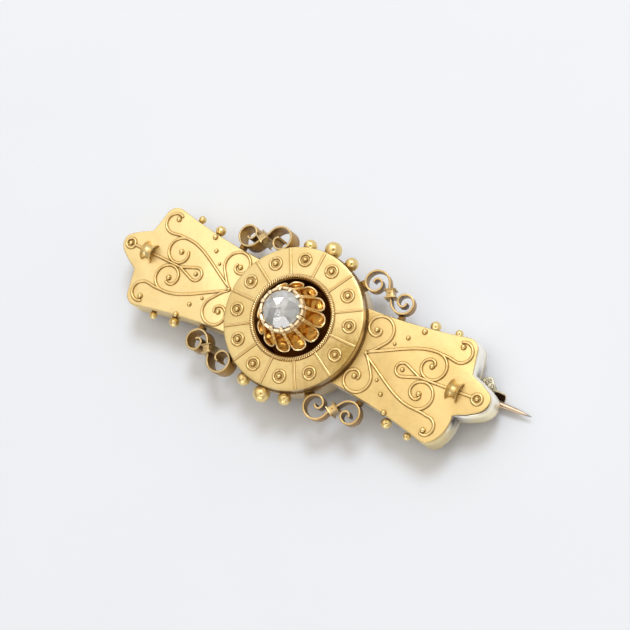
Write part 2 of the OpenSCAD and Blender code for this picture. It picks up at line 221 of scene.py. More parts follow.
def ribbon(shape, path, section, kind="body"):
    """A closed section of (across, up) points for each point of a path in X and Z, with flat ends."""
    path = np.asarray(path, float)
    up = across(path)
    pts = []
    for (x, z), (ux, uz), part in zip(path, up, section):
        pts += [(x + ux * h, w, z + uz * h) for w, h in part]
    n, m = len(path), len(section[0])
    shape.add(pts, grid_faces(n, m, wrap_cols=True) + end_faces(n, m), kind)

def sheet(shape, front, back, rows, cols, front_kind="body"):
    """Two grids of points, the front and the back of a sheet, closed round its rim."""
    count = rows * cols
    grid = grid_faces(rows, cols)
    rim = list(range(cols)) + [j * cols + cols - 1 for j in range(1, rows)]
    rim += [(rows - 1) * cols + i for i in range(cols - 2, -1, -1)] + [j * cols for j in range(rows - 2, 0, -1)]
    edge = [(a, b, b + count, a + count) for a, b in zip(rim, rim[1:] + rim[:1])]
    faces = grid + [tuple(i + count for i in f[::-1]) for f in grid] + edge
    shape.add(np.concatenate([front, back]), faces, [front_kind] * len(grid) + ["body"] * len(grid + edge))

PIT_TO = (0.36, -0.1, 0.93)    # direction of the pit in a ball
PIT_CROWDING = 1.25             # draws a ball's rings together there

def ball(shape, c, r, sides=18, rings=12, pit=0.0, pit_width=0.26, kind="body", pit_shade_kind=None):
    """Sphere with an optional pit, as deep as pit times its radius and pit_width radians wide; faces in the pit
    take pit_shade_kind if given, painted dark as shade.
    """
    pts = [[0, 0, 1.0]]
    for j in range(1, rings):
        t = math.pi * (j / rings) ** (PIT_CROWDING if pit else 1)
        for i in range(sides):
            a = 2 * math.pi * i / sides
            pts.append([math.sin(t) * math.cos(a), math.sin(t) * math.sin(a), math.cos(t)])
    pts.append([0, 0, -1.0])
    pts = np.array(pts)
    if pit:
        angle = np.arccos(np.clip(pts[:, 2], -1, 1))
        pts = pts * (1 - pit * np.exp(-(angle / pit_width) ** 2))[:, None]
    to = Vector(PIT_TO).normalized()
    pts = pts @ np.array(Vector((0, 0, 1)).rotation_difference(to).to_matrix()).T
    pts = pts * r + np.asarray(c, float)
    faces = [(0, 1 + i, 1 + (i + 1) % sides) for i in range(sides)]
    kinds = [kind if pit_shade_kind is None else pit_shade_kind] * sides
    for j in range(rings - 2):
        deep = pit_shade_kind is not None and math.pi * ((j + 2) / rings) ** PIT_CROWDING < pit_width * 0.85
        kinds += [pit_shade_kind if deep else kind] * sides
        for i in range(sides):
            a, b = 1 + j * sides + i, 1 + j * sides + (i + 1) % sides
            faces.append((a, a + sides, b + sides, b))
    end, last = len(pts) - 1, 1 + (rings - 2) * sides
    faces += [(end, last + (i + 1) % sides, last + i) for i in range(sides)]
    shape.add(pts, faces, kinds + [kind] * sides)

def outward(loop):
    """Outward unit normals of a counterclockwise loop."""
    edge = unit(np.roll(loop, -1, 0) - loop)
    n = np.c_[edge[:, 1], -edge[:, 0]]
    return unit(n + np.roll(n, 1, 0))

def slab(shape, loop, levels, kinds=None, wide=None, seam=None):
    """A loop raised through levels of (inset, z), closed at both ends.

    A level may add an inset where the weight wide is high, and an inset and a height where the weight seam is.
    A level of the kind seam only takes its dark colour where that weight is high.
    """
    loop = np.asarray(loop, float)
    normal = outward(loop)
    n = len(loop)
    wide = np.zeros(n) if wide is None else wide
    seam = np.zeros(n) if seam is None else seam
    pts = []
    for level in levels:
        inset, z, more_wide, more_seam, seam_z = (list(level) + [0, 0, 0])[:5]
        inward = inset + more_wide * wide + more_seam * seam
        pts.append(np.c_[loop - normal * inward[:, None], z + seam_z * seam])
    kinds = kinds or ["body"] * len(levels)
    faces, face_kinds = [], []
    for j in range(len(levels) - 1):
        for i in range(n):
            a, b = j * n + i, j * n + (i + 1) % n
            faces.append((a, b, b + n, a + n))
            face_kinds.append(kinds[j] if kinds[j] != "seam" or seam[i] > 0.5 else "body")
    faces += end_faces(len(levels), n)
    face_kinds += [kinds[0], kinds[-1]]
    shape.add(np.concatenate(pts), faces, face_kinds)

def round_levels(z0, z1, r_top, r_bottom=0.05, steps=3):
    """Levels of a slab from z0 to z1 with rounded upper and lower edges."""
    quarter = [math.pi / 2 * k / steps for k in range(steps + 1)]
    levels = [(r_bottom * (1 - math.sin(a)), z0 + r_bottom * (1 - math.cos(a))) for a in quarter]
    return levels + [(r_top * (1 - math.cos(a)), z1 - r_top * (1 - math.sin(a))) for a in quarter]

def new_object(name, data):
    obj = bpy.data.objects.new(name, data)
    bpy.context.scene.collection.objects.link(obj)
    return obj

def build(name, shape, materials, replaces, sharp=40):
    """Makes a piece that rides on the brooch in place of a CAD node. Edges over sharp stay hard."""
    pts = np.concatenate(shape.points) * MM
    pts[:, 0] += SHIFT * MM
    mesh = bpy.data.meshes.new(name)
    mesh.from_pydata(pts.tolist(), [], shape.faces)
    for m in materials.values():
        mesh.materials.append(m)
    index = {kind: i for i, kind in enumerate(materials)}
    mesh.polygons.foreach_set("material_index", np.array([index[k] for k in shape.kinds], np.int32))
    mesh.polygons.foreach_set("use_smooth", np.full(len(mesh.polygons), True))
    bm = bmesh.new()
    bm.from_mesh(mesh)
    bmesh.ops.recalc_face_normals(bm, faces=bm.faces)
    limit = math.radians(sharp)
    for e in bm.edges:
        if len(e.link_faces) == 2 and e.calc_face_angle(0) > limit:
            e.smooth = False
    bm.to_mesh(mesh)
    bm.free()
    mesh.update()
    obj = new_object(name, mesh)
    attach(obj, "brooch")
    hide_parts(replaces)

# Materials

def map_range(tree, source, lo, hi, to_lo, to_hi, soft=False):
    r = tree.nodes.new("ShaderNodeMapRange")
    if soft:
        r.interpolation_type = "SMOOTHSTEP"
    for socket, value in (("From Min", lo), ("From Max", hi), ("To Min", to_lo), ("To Max", to_hi)):
        r.inputs[socket].default_value = value
    tree.links.new(source, r.inputs["Value"])
    return r.outputs["Result"]

class Nodes:
    """Short ways to add and link a material's shader nodes."""

    def __init__(self, name):
        self.material = bpy.data.materials.new(name)
        self.material.use_nodes = True
        self.tree = self.material.node_tree
        self.shader = self.tree.nodes["Principled BSDF"]
        self.coord = self.tree.nodes.new("ShaderNodeTexCoord").outputs["Object"]

    def link(self, a, b):
        self.tree.links.new(a, b)

    def noise(self, scale, detail=4.0, roughness=0.55):
        n = self.tree.nodes.new("ShaderNodeTexNoise")
        n.inputs["Scale"].default_value = scale
        n.inputs["Detail"].default_value = detail
        n.inputs["Roughness"].default_value = roughness
        self.link(self.coord, n.inputs["Vector"])
        return n.outputs["Fac"]

    def remap(self, *values, soft=False):
        return map_range(self.tree, *values, soft)

    def math(self, operation, a, b):
        m = self.tree.nodes.new("ShaderNodeMath")
        m.operation = operation
        for socket, value in zip(m.inputs, (a, b)):
            if isinstance(value, (int, float)):
                socket.default_value = value
            else:
                self.link(value, socket)
        return m.outputs["Value"]

    def distance(self, point):
        """Distance from a point given in millimetres from the disc's centre, in metres."""
        v = self.tree.nodes.new("ShaderNodeVectorMath")
        v.operation = "DISTANCE"
        self.link(self.coord, v.inputs[0])
        v.inputs[1].default_value = ((point[0] + SHIFT) * MM, point[1] * MM, point[2] * MM)
        return v.outputs["Value"]

    def mix(self, factor, a, b):
        x = self.tree.nodes.new("ShaderNodeMix")
        x.data_type = "RGBA"
        self.link(factor, x.inputs["Factor"])
        for socket, value in (("A", a), ("B", b)):
            target = [i for i in x.inputs if i.name == socket and i.type == "RGBA"][0]
            if isinstance(value, tuple):
                target.default_value = (*value, 1)
            else:
                self.link(value, target)
        return [o for o in x.outputs if o.type == "RGBA"][0]

    def crevice(self, reach_mm, lo, hi, amount):
        """Darkening from ambient occlusion, partly dirt and partly painted shade: amount in corners, falling to
        nothing on open faces.
        """
        occlusion = self.tree.nodes.new("ShaderNodeAmbientOcclusion")
        occlusion.samples = 8
        occlusion.inputs["Distance"].default_value = reach_mm * MM
        return self.remap(occlusion.outputs["AO"], lo, hi, amount, 0.0)

    def bump(self, height, strength, distance_mm=0.05):
        b = self.tree.nodes.new("ShaderNodeBump")
        b.inputs["Strength"].default_value = strength
        b.inputs["Distance"].default_value = distance_mm * MM
        self.link(height, b.inputs["Height"])
        self.link(b.outputs["Normal"], self.shader.inputs["Normal"])

PATCHES, SPOTS, GRAIN = 330, 1700, 9000     # scales of the metal's unevenness, per metre

def gold(name, light, deep, dirt_and_shade, rough, spread=0.08, crevice=0.35, reach=0.3, grain=0.25, stains_and_shade=(),
         metallic=1.0):
    """Gold in patches of a light and a deep colour, with fine grain, crevice darkening, stains, painted shade
    and uneven gloss.

    The gloss is rough plus or minus spread; the crevice darkening, partly dirt and partly painted shade, is as
    strong as crevice and reaches as far as reach; and a stain or a patch of painted shade is its centre, reach,
    strength and colour.
    """
    n = Nodes(name)
    n.shader.inputs["Metallic"].default_value = metallic
    n.shader.inputs["Specular IOR Level"].default_value = 0.2
    broad, middle, fine = n.noise(PATCHES, 3.0), n.noise(SPOTS, 4.0), n.noise(GRAIN, 3.0, 0.6)
    base = n.mix(n.remap(broad, 0.36, 0.64, 0.0, 1.0), light, deep)
    base = n.mix(n.remap(middle, 0.5, 0.78, 0.0, 0.3), base, tuple(0.86 * v for v in deep))
    # crevice darkening from ambient occlusion: partly dirt, partly painted shade in corners and recesses
    base = n.mix(n.crevice(reach, 0.3, 0.88, crevice), base, dirt_and_shade)
    for point, size, amount, color in stains_and_shade:
        near = n.remap(n.distance(point), size * MM, 0.0, 0.0, amount, soft=True)
        spotty = n.math("MULTIPLY", near, n.remap(middle, 0.35, 0.62, 0.6, 1.0))
        base = n.mix(spotty, base, color)
    n.link(base, n.shader.inputs["Base Color"])
    n.link(n.remap(middle, 0.3, 0.7, rough - spread, rough + spread), n.shader.inputs["Roughness"])
    n.bump(n.math("ADD", middle, n.math("MULTIPLY", fine, 0.35)), grain)
    return n.material

TARNISH, SOOTY = (0.1, 0.07, 0.07), (0.05, 0.03, 0.03)
# Darker patches on the disc: tarnish at the lower right and along the right edge, and painted shade along the
# right edge, at the upper right, on the left and at the bottom
DISC_TARNISH_AND_SHADE = [((5.3, -5.3, 6.3), 4.2, 1.1, (0.5, 0.355, 0.15)),
               ((7.6, -1.2, 6.3), 5.0, 1.3, (0.37, 0.245, 0.075)),
               ((5.3, 5.3, 6.3), 3.4, 0.8, (0.66, 0.43, 0.18)),
               ((-7.0, -1.5, 6.3), 4.5, 0.45, (0.56, 0.4, 0.15)),
               ((0.0, -6.8, 6.3), 4.5, 0.45, (0.54, 0.38, 0.14))]
# The first two patches turn the walls' painted pale sheen more golden on the lower side and at the lobe's tip;
# the rest are tarnish and soot at the notch
WALL_TONES_AND_TARNISH = [((18.9, -5.6, 3.9), 4.0, 2.2, (0.78, 0.64, 0.34)),
               ((22.9, -1.2, 3.0), 3.0, 1.7, (1.0, 0.9, 0.62)),
               ((20.1, 2.75, 3.2), 1.5, 0.85, TARNISH),
               ((20.1, -2.2, 3.2), 1.1, 0.85, TARNISH),
               ((20.2, -2.5, 4.4), 1.3, 1.0, SOOTY)]
# Lighter orange-brown on the well's left wall: the painted shade in the well is weaker there
WELL_LIGHTER_LEFT = [((-4.4, 0.3, 5.2), 4.2, 1.2, (0.62, 0.25, 0.02))]
PIN_STAINS = [((26.3, 1.5, 0.75), 1.0, 1.0, (0.2, 0.19, 0.17))]

# Light, deep and crevice colours (partly dirt, partly painted shade), then roughness
FACE = gold("face_gold", (0.82, 0.655, 0.34), (0.77, 0.6, 0.293), (0.3, 0.15, 0.03), 0.42, crevice=0.85)
# A darker copy of face_gold for the right wing: painted shade
FACE_SHADED = gold("face_gold_shaded", (0.725, 0.545, 0.25), (0.68, 0.5, 0.214), (0.3, 0.15, 0.03), 0.42, crevice=0.85)
DISC = gold("disc_gold", (0.725, 0.58, 0.29), (0.67, 0.515, 0.235), (0.24, 0.12, 0.02), 0.38, crevice=0.9,
            stains_and_shade=DISC_TARNISH_AND_SHADE)
ROPE = gold("rope_gold", (1.0, 0.79, 0.44), (0.92, 0.68, 0.33), (0.2, 0.09, 0.02), 0.3, crevice=0.6,
            reach=0.12)
# Near-white gold for the right wing's walls: a painted reflection of the pale floor
WALL_SHEEN = gold("wall_gold", (1.0, 0.98, 0.9), (0.96, 0.92, 0.81), (0.45, 0.34, 0.22), 0.36, crevice=0.35,
            stains_and_shade=WALL_TONES_AND_TARNISH)
SIDE = gold("side_gold", (0.94, 0.77, 0.42), (0.88, 0.69, 0.34), (0.34, 0.2, 0.06), 0.36, crevice=0.45)
# Dark colour of seams, of the lines by wires and grains, of pits in balls, of the rope's core and of the
# collet's slits: partly solder and dirt, partly painted shade
SEAM_AND_SHADE = gold("seam_and_shade_gold", (0.4, 0.24, 0.075), (0.27, 0.145, 0.04), (0.05, 0.025, 0.01), 0.5, crevice=0.5)
BALL = gold("ball_gold", (0.9, 0.71, 0.34), (0.82, 0.62, 0.27), (0.24, 0.12, 0.03), 0.36, crevice=0.7,
            reach=0.5)
DRUM = gold("drum_gold", (0.86, 0.72, 0.5), (0.76, 0.61, 0.39), (0.5, 0.28, 0.08), 0.36, crevice=0.45)
WIRE = gold("wire_gold", (0.83, 0.63, 0.31), (0.77, 0.56, 0.24), (0.28, 0.14, 0.03), 0.4, crevice=0.85,
            reach=0.2)
STRIP = gold("strip_gold", (0.57, 0.34, 0.085), (0.38, 0.2, 0.04), (0.1, 0.045, 0.012), 0.32, crevice=0.85,
             reach=1.1, metallic=0.75)
DULL_STRIP = gold("dull_strip_gold", (0.5, 0.29, 0.075), (0.32, 0.165, 0.035), (0.07, 0.035, 0.012), 0.34,
                  crevice=0.85, reach=1.1, metallic=0.75)
RIM = gold("rim_gold", (0.66, 0.51, 0.28), (0.5, 0.37, 0.18), (0.26, 0.15, 0.05), 0.3, crevice=0.6, reach=0.2)
DULL_RIM = gold("dull_rim_gold", (0.64, 0.46, 0.22), (0.48, 0.33, 0.14), (0.2, 0.12, 0.04), 0.32, crevice=0.6,
                reach=0.2)
# Dark brown for the well, the wall of the disc's hole and the core behind the scoops: painted shade in these
# recesses
RECESS_SHADE = gold("dark_gold", (0.27, 0.085, 0.008), (0.16, 0.045, 0.004), (0.01, 0.003, 0.001), 0.5, crevice=0.8,
            reach=2.0, metallic=0.85, stains_and_shade=WELL_LIGHTER_LEFT)
# Near-black for the inside of the catch's hook: painted shade
HOOK_SHADE = gold("hook_inner_shade", (0.06, 0.022, 0.006), (0.03, 0.01, 0.002), (0.008, 0.003, 0.001), 0.45, metallic=0.0)
# Scoops: a darker, more orange copy of the lips' gold, painted shade inside the spoons; glossier too
SCOOP = gold("polished_gold", (0.66, 0.36, 0.08), (0.545, 0.265, 0.05), (0.26, 0.1, 0.02), 0.25, 0.05,
             crevice=0.65, reach=0.5, grain=0.12)
LIP = gold("lip_gold", (0.97, 0.79, 0.47), (0.9, 0.68, 0.34), (0.4, 0.2, 0.05), 0.28, crevice=0.35,
           reach=0.25)
BAND = gold("band_gold", (0.97, 0.83, 0.6), (0.92, 0.74, 0.48), (0.34, 0.18, 0.06), 0.42, crevice=0.5,
            reach=0.2)
PIN = gold("pin_gold", (0.57, 0.45, 0.33), (0.51, 0.395, 0.28), (0.2, 0.13, 0.08), 0.42, 0.02, grain=0.03,
           stains_and_shade=PIN_STAINS)
SOLDER = gold("solder", (0.59, 0.56, 0.44), (0.44, 0.41, 0.31), (0.12, 0.1, 0.07), 0.42, crevice=0.8,
              reach=0.3, grain=0.7)
PLATE = gold("plate_gold", (0.84, 0.7, 0.46), (0.76, 0.6, 0.36), (0.3, 0.2, 0.1), 0.34, crevice=0.5)

def stone_material():
    """Cut stone: clear in part, with painted inner reflections as cells of different greys, and faint streaks.
    """
    n = Nodes("diamond")
    cells = n.tree.nodes.new("ShaderNodeTexVoronoi")
    cells.inputs["Scale"].default_value = 1150
    n.link(n.coord, cells.inputs["Vector"])
    split = n.tree.nodes.new("ShaderNodeSeparateColor")
    n.link(cells.outputs["Color"], split.inputs["Color"])
    facet = n.remap(split.outputs["Red"], 0.15, 0.85, 0.0, 1.0)
    streak = n.remap(n.noise(1400, 5.0, 0.65), 0.38, 0.62, 0.0, 0.6)
    # cells of different greys: painted inner reflections
    inner = n.mix(facet, (0.46, 0.47, 0.48), (0.92, 0.925, 0.93))
    n.link(n.mix(streak, inner, (0.62, 0.625, 0.625)), n.shader.inputs["Base Color"])
    n.shader.inputs["Transmission Weight"].default_value = 0.45
    n.shader.inputs["IOR"].default_value = 2.2
    n.link(n.remap(n.noise(900), 0.3, 0.7, 0.02, 0.07), n.shader.inputs["Roughness"])
    return n.material

def foil_material():
    """Dull silvery foil under the stone."""
    n = Nodes("foil")
    n.shader.inputs["Metallic"].default_value = 0.8
    n.link(n.mix(n.remap(n.noise(1500), 0.35, 0.65, 0.0, 1.0), (0.8, 0.81, 0.82), (0.62, 0.63, 0.65)),
           n.shader.inputs["Base Color"])
    n.link(n.remap(n.noise(2200), 0.3, 0.7, 0.35, 0.55), n.shader.inputs["Roughness"])
    return n.material

STONE = stone_material()
FOIL = foil_material()

# Wings

WING_HALF, FLARE, CURVE, SIDE_X0 = 4.46, 0.055, 0.00824, 7.56
CORNER, CORNER_R, NOTCH = (18.4, 4.7), 1.3, (20.2, 2.45)

def side_y(x):
    """Half of a wing's width, which grows a little faster towards its corner."""
    return WING_HALF + FLARE * (x - SIDE_X0) + CURVE * (x - SIDE_X0) ** 2

def wing_half(reach, tip_y, fullness, full_corner=False):
    """Outline above the axis from the drum past the corner and the notch to the lobe's tip."""
    n = pt(NOTCH[0], NOTCH[1] + tip_y / 2)
    point = pt(reach, tip_y)
    xs = np.linspace(6.45, 18.0, 48)
    sides = np.c_[xs, side_y(xs)]
    if full_corner:
        start = arc(CORNER, CORNER_R, 103, 70, 8)
        rest = bezier(start[-1], (19.75, 5.55), (20.6, 3.9), n + pt(0.06, 0.06), 24)
        corner = np.concatenate([start[:-1], rest])
    else:
        corner = arc(CORNER, CORNER_R, 103, 8, 22)
    lobe = bezier(n, n + pt(1.75, -0.95 + fullness), point + pt(0, 1.1 + fullness), point, 30)
    return np.concatenate([sides, corner, lobe])

def wing_loop(lobe):
    """Counterclockwise outline, with weights that mark the wing's end and the lower side of its lobe."""
    upper = wing_half(lobe[0], lobe[1], lobe[2])
    lower = wing_half(lobe[0], -lobe[1], lobe[2], lobe[2] > 0) * [1, -1]
    a = math.degrees(math.atan2(upper[0, 1], upper[0, 0]))
    root = arc((0, 0), DRUM_R + GAP, a, -a, 24)[1:-1]
    loop = np.concatenate([root, lower, upper[::-1][1:]])
    x, y = loop.T
    tip = np.maximum(np.clip((x - 20.3) / 1.6, 0, 1), 0.7 * np.clip((x - 17.9) / 1.2, 0, 1))
    seam = np.clip((x - 20.2) / 0.5, 0, 1) * np.clip((0.9 - y) / 0.8, 0, 1)
    return loop, tip, seam

HEART_C, HEART_R, APEX = (15.82, 1.58), 1.58, (8.7, 0.15)
DROP_C, DROP_R, KNOT = (13.05, 0.0), 0.73, (15.1, 0.0)
RING_R = 0.54
WIRE_R = 0.135
WIRE_Z = WING_TOP + 0.08
DARK_LINE_W = 0.055          # how far the dark line of solder and painted shade shows beside its wire

def heart_wire(end, r_end):
    """Half of the heart, curled inwards up to the angle end and the radius r_end."""
    apex, heart = pt(*APEX), pt(*HEART_C)
    rise = bezier(apex, apex + pt(3.2, 1.6), heart + pt(-2.2, HEART_R), heart + pt(0, HEART_R), 24)
    return np.concatenate([rise, spiral(HEART_C, HEART_R, r_end, 85, end, 2.2, 90)])

def other_wires(tight):
    """Corner curl, C-scroll by the drum, and half of the drop."""
    apex = pt(*APEX)
    if tight:
        curl = spiral((17.78, 4.33), 1.08, 0.84, -100, 92, 3, 40)
    else:
        curl = spiral((17.93, 4.27), 1.24, 0.95, -100, 108, 3, 40)
    corner_wire = np.concatenate([[(16.22, 3.16), (16.95, 3.16)], curl])
    c_scroll = np.concatenate([bezier(apex, apex + pt(0.5, 0.25), (9.68, 1.15), (10.05, 1.6), 10),
                               spiral((8.8, 2.8), 1.73, 0.27, -40, 360, 1.55, 90)])
    half = 90 - math.degrees(math.asin(DROP_R / (KNOT[0] - DROP_C[0])))
    drop = np.concatenate([[KNOT], arc(DROP_C, DROP_R, half, 182, 24)])
    return [corner_wire, c_scroll, drop]

# What differs between the wings. seamed: 1 for a soldered joint below the lobe; lobe: reach, offset of its tip
# and fullness; saddle: the keeper's X; hearts: end angle and radius of the upper and the lower wire;
# ball_shift: how far out the upper balls sit; grain: a grain above and one below
WINGS = {
    "left": dict(seamed=0.0, lobe=(23.0, 0.2, 0.0), ring=(21.85, 0.16), saddle=19.3,
                 hearts=((-196, 0.85), (-275, 0.52)), ball_shift=0.0, grain=((12.95, 4.6), (13.0, -4.88))),
    "right": dict(seamed=1.0, lobe=(23.3, 0.5, 0.3), ring=(21.6, 0.43), saddle=19.1,
                  hearts=((-310, 0.33), (-310, 0.33)), ball_shift=0.28, grain=((13.42, 4.55), (13.3, -4.85)))}
LOWER_SHIFT = 0.08
# Grains on both sides: X, Y and radius
GRAINS = [(11.05, 2.1, 0.15), (12.1, 3.26, 0.21), (8.62, 2.69, 0.26), (15.8, 1.58, 0.27), (17.9, 4.74, 0.27)]
# Grains on the axis and balls on the long sides: X and radius
AXIS_GRAINS = [(8.66, 0.21), (13.05, 0.21), (15.1, 0.14)]
SIDE_BALLS = [(13.45, 0.58), (16.1, 0.43)]
SIDE_BALL_Z = WING_TOP - 1.57

def keeper(shape, x, y):
    """Half tube along X over the stem, with a waist and rolled mouths."""
    length, waist, mouth, thick, sunk = 1.16, 0.72, 1.12, 0.2, 0.08
    steps = np.linspace(-0.5, 0.5, 21)
    outer = [(length * t, waist + (mouth - waist) * abs(2 * t) ** 3.2) for t in steps]
    inner = [(px, pr - thick) for px, pr in outer[::-1]]
    lip = [(length * 0.5 + 0.07, mouth - 0.06), (length * 0.5 + 0.03, mouth - 0.15)]
    lip_b = [(-px, pr) for px, pr in lip[::-1]]
    profile = outer + lip + inner + lip_b
    n, m = 28, len(profile)
    pts = []
    for j in range(n + 1):
        a = math.pi * j / n
        for px, pr in profile:
            pts.append((x + px, y + pr * math.cos(a), WING_TOP - sunk + (pr + sunk) * math.sin(a)))
    shape.add(pts, grid_faces(n + 1, m, wrap_cols=True) + end_faces(n + 1, m))

def wing(seamed, lobe, ring, saddle, hearts, ball_shift, grain):
    shape = Shape()
    loop, tip, seam = wing_loop(lobe)
    top = WING_TOP
    # inset, z, more inset at the wing's end, more inset and height at the seam on the lobe's lower side
    levels = [(0.0, FOOT_Z), (0.0, top - 1.0), (0.0, top - 0.62, 0.03), (0.0, top - 0.42, 0.09),
              (0.01, top - 0.29, 0.17), (0.02, top - 0.21, 0.24), (0.035, top - 0.17, 0.26),
              (0.04, top - 0.17, 0.26, 0.01, -0.1), (0.045, top - 0.16, 0.26, 0.055, -0.12),
              (0.045, top - 0.15, 0.26, 0.06)]
    kinds = ["wall"] * 6 + ["seam"] * 3 + ["body"]
    edge = 0.12
    for k in range(6):
        a = math.pi / 2 * k / 5
        levels.append((0.04 + edge * (1 - math.cos(a)), top - edge * (1 - math.sin(a)), 0.26, 0.06))
        kinds.append("body")
    slab(shape, loop, levels, kinds, tip * (0.35 + 0.65 * seamed), seam * seamed)

    def wire(path, under, closed=False):
        tube(shape, lifted(path, WIRE_Z), WIRE_R, closed=closed, kind="wire")
        seam_and_shade_line(shape, under, WING_TOP, WIRE_R + DARK_LINE_W, closed)

    def line(path, side):
        path = smoothed(resampled(path, 0.09), 2)
        from_drum = np.hypot(path[:, 0], path[:, 1]) - DRUM_R - GAP
        wire(path[from_drum > 0] * [1, side], path[from_drum > 0.1] * [1, side])

    def bead(x, y, r):
        ball(shape, (x, y, WING_TOP + 0.1), r, pit=0.12, kind="grain")
        seam_and_shade_ring(shape, x, y, WING_TOP, r + DARK_LINE_W)

    for side, heart, (gx, gy) in zip((1, -1), hearts, grain):
        line(heart_wire(*heart), side)
        for path in other_wires(seamed and side < 0):
            line(path, side)
        for x, y, r in GRAINS:
            bead(x, side * y, r)
        bead(gx, gy, 0.27)
        for x, r in SIDE_BALLS:
            x += ball_shift if side > 0 else LOWER_SHIFT
            # the pits of these balls are painted dark as shade
            ball(shape, (x, side * (side_y(x) + r - 0.03), SIDE_BALL_Z), r, 28, 22, 0.22, 0.2, "grain", "seam")
    stem = resampled([KNOT, (ring[0] - 0.5, ring[1])], 0.15)
    wire(stem, stem)
    circle = arc(ring, RING_R, 0, 360, 40)[:-1]
    wire(circle, circle, closed=True)
    bead(*ring, 0.24)
    for x, r in AXIS_GRAINS:
        bead(x, 0, r)
    keeper(shape, saddle, ring[1] * (saddle - KNOT[0]) / (ring[0] - KNOT[0]))
    return shape

build("right_wing_body", wing(**WINGS["right"]), dict(body=FACE_SHADED, wire=WIRE, wall=WALL_SHEEN, seam=SEAM_AND_SHADE, grain=BALL),
      "right_wing")
build("left_wing_body", wing(**WINGS["left"]).moved(mirror_matrix(-1, 1)),
      dict(body=FACE, wire=WIRE, wall=SIDE, seam=SEAM_AND_SHADE, grain=BALL), "left_wing")

# Drum and disc

DRUM_WALL = 0.45
DRUM_BALLS = [(90, 8.53, 0.94), (71.9, 8.36, 0.73), (108.1, 8.36, 0.73)]    # angle, distance and radius
DRUM_BALL_Z = DISC_TOP - 1.87
BEADS, BEADS_AT, BEAD_R = 196, 7.87, 0.118      # tiny beads round the wall, under the disc's edge

def drum():
    shape = Shape()
    lathe(shape, [(DRUM_R - DRUM_WALL, FOOT_Z), (DRUM_R, FOOT_Z), (DRUM_R, WING_TOP - 0.1),
                  (DRUM_R - 0.05, DRUM_TOP), (DRUM_R - DRUM_WALL, DRUM_TOP)], 180)
    for i in range(BEADS):
        a = 2 * math.pi * i / BEADS
        c = (BEADS_AT * math.cos(a), BEADS_AT * math.sin(a), WING_TOP + 0.06)
        ball(shape, c, BEAD_R, 8, 6, kind="seam")
    for side in (0, 180):
        for angle, at, r in DRUM_BALLS:
            a = math.radians(angle + side)
            c = (at * math.cos(a), at * math.sin(a), DRUM_BALL_Z)
            # the pits of these balls are painted dark as shade
            ball(shape, c, r, 40, 34, 0.16, 0.15, "grain", "seam")
    return shape

build("drum_body", drum(), dict(body=DRUM, grain=BALL, seam=SEAM_AND_SHADE), "drum")

def well():
    """Inner wall of the recess with a thin floor round the calyx's stem, painted dark as shade."""
    shape = Shape()
    wall, stem, low = 4.75, 1.76, FOOT_Z
    lathe(shape, [(stem, low), (wall, low), (wall, DRUM_TOP), (WELL_R, DRUM_TOP), (WELL_R, low + 0.25),
                  (WELL_R - 0.08, low + 0.1), (WELL_R - 0.25, low + 0.04), (stem, low + 0.04)], 144)
    return shape

build("well_liner", well(), dict(body=RECESS_SHADE), "well")

STEP = 30               # degrees from one panel, flute or claw to the next
TURNS = 360 // STEP

def twisted_ring(shape, radius, z, strand, offset, turns, kind):
    """Two strands twisted round a circle."""
    n = turns * 10
    theta = 2 * math.pi * np.arange(n) / n
    for start in (0, math.pi):
        turn = start + turns * theta
        r = radius + offset * np.cos(turn)
        path = np.c_[r * np.cos(theta), r * np.sin(theta), z + offset * np.sin(turn)]
        tube(shape, path, strand, 8, closed=True, kind=kind)

DOME_FROM, DOME_FALL, BEND_FROM = 4.8, 0.05, 7.5
ROPE_AT, CIRCLET_AT = WELL_R + 0.21, 6.37
EDGE_R = 0.1           # rounding of the disc's edge

def disc_z(r):
    """The plate falls gently from the rope, and more at its edge."""
    return DISC_TOP - DOME_FALL * max(0.0, r - DOME_FROM) - 0.5 * max(0.0, r - BEND_FROM) ** 2

def spoke():
    """Flat strip with a groove down its middle and a dark line of solder and painted shade on both sides."""
    shape = Shape()
    section = [(-0.125, -0.15), (0.125, -0.15), (0.13, 0.05), (0.12, 0.085), (0.095, 0.1), (0.03, 0.1),
               (0.0, 0.06), (-0.03, 0.1), (-0.095, 0.1), (-0.12, 0.085), (-0.13, 0.05)]
    line = [(-0.17, -0.05), (0.17, -0.05), (0.17, 0.012), (-0.17, 0.012)]
    path = [(x, disc_z(x)) for x in np.linspace(WELL_R + 0.38, DISC_R - EDGE_R, 24)]
    ribbon(shape, path, [section] * len(path), kind="wire")
    ribbon(shape, path, [line] * len(path), kind="seam")
    return shape

def circlet(gap_at):
    """Ring of wire whose ends nearly meet, round a grain."""
    shape = Shape()
    path = resampled(arc((0, 0), 0.63, gap_at + 10, gap_at + 350, 50), 0.08)
    tube(shape, lifted(path, 0.05), 0.13, kind="wire")
    seam_and_shade_line(shape, path, 0.0, 0.13 + DARK_LINE_W)
    ball(shape, (0, 0, 0.09), 0.25, 20, 14, pit=0.1, kind="grain")
    seam_and_shade_ring(shape, 0, 0, 0.0, 0.36)
    tilt = turn_matrix(math.degrees(math.atan(DOME_FALL)), "Y")
    return shape.moved(move_matrix(CIRCLET_AT, 0, disc_z(CIRCLET_AT)) @ tilt)

GAPS_AT = [200, 60, 150, 300, 20, 240, 110, 330, 80, 190, 270, 30]     # where each circlet is open

